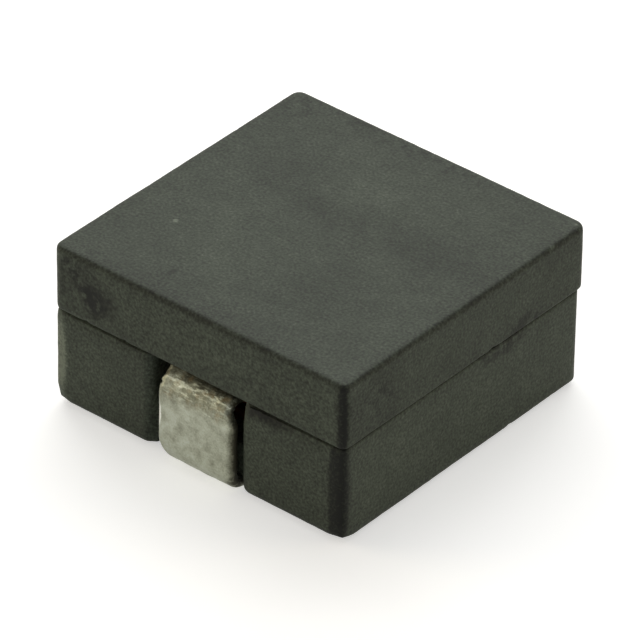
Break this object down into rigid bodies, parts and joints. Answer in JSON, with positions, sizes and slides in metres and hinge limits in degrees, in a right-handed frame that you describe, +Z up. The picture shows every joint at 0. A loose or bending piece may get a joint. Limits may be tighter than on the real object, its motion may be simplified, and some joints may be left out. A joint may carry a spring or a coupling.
{
  "type": "shielded smd power inductor",
  "caption": "Low square power inductor: pressed ferrite cores closed round an edge-wound flat-wire coil, whose ends fold down and under opposite sides as solder pads.",
  "frame": {"origin": "centre of the outline in plan, on the solder plane, which is the lowest plane of the part", "axes": "+Z up away from the board; the two terminals stand at -Y and +Y, and X runs along their width"},
  "size_m": [0.0128, 0.0132, 0.0065],
  "materials": {
    "pressed_ferrite": "matt dark grey fired ceramic, faintly mottled",
    "tinned_copper": null,
    "cured_epoxy": "dark cured adhesive"
  },
  "bodies": {
    "root": {"base_core": "pressed_ferrite", "lid_core": "pressed_ferrite", "coil": "tinned_copper", "adhesive_left": "cured_epoxy", "adhesive_right": "cured_epoxy"}
  },
  "joints": []
}
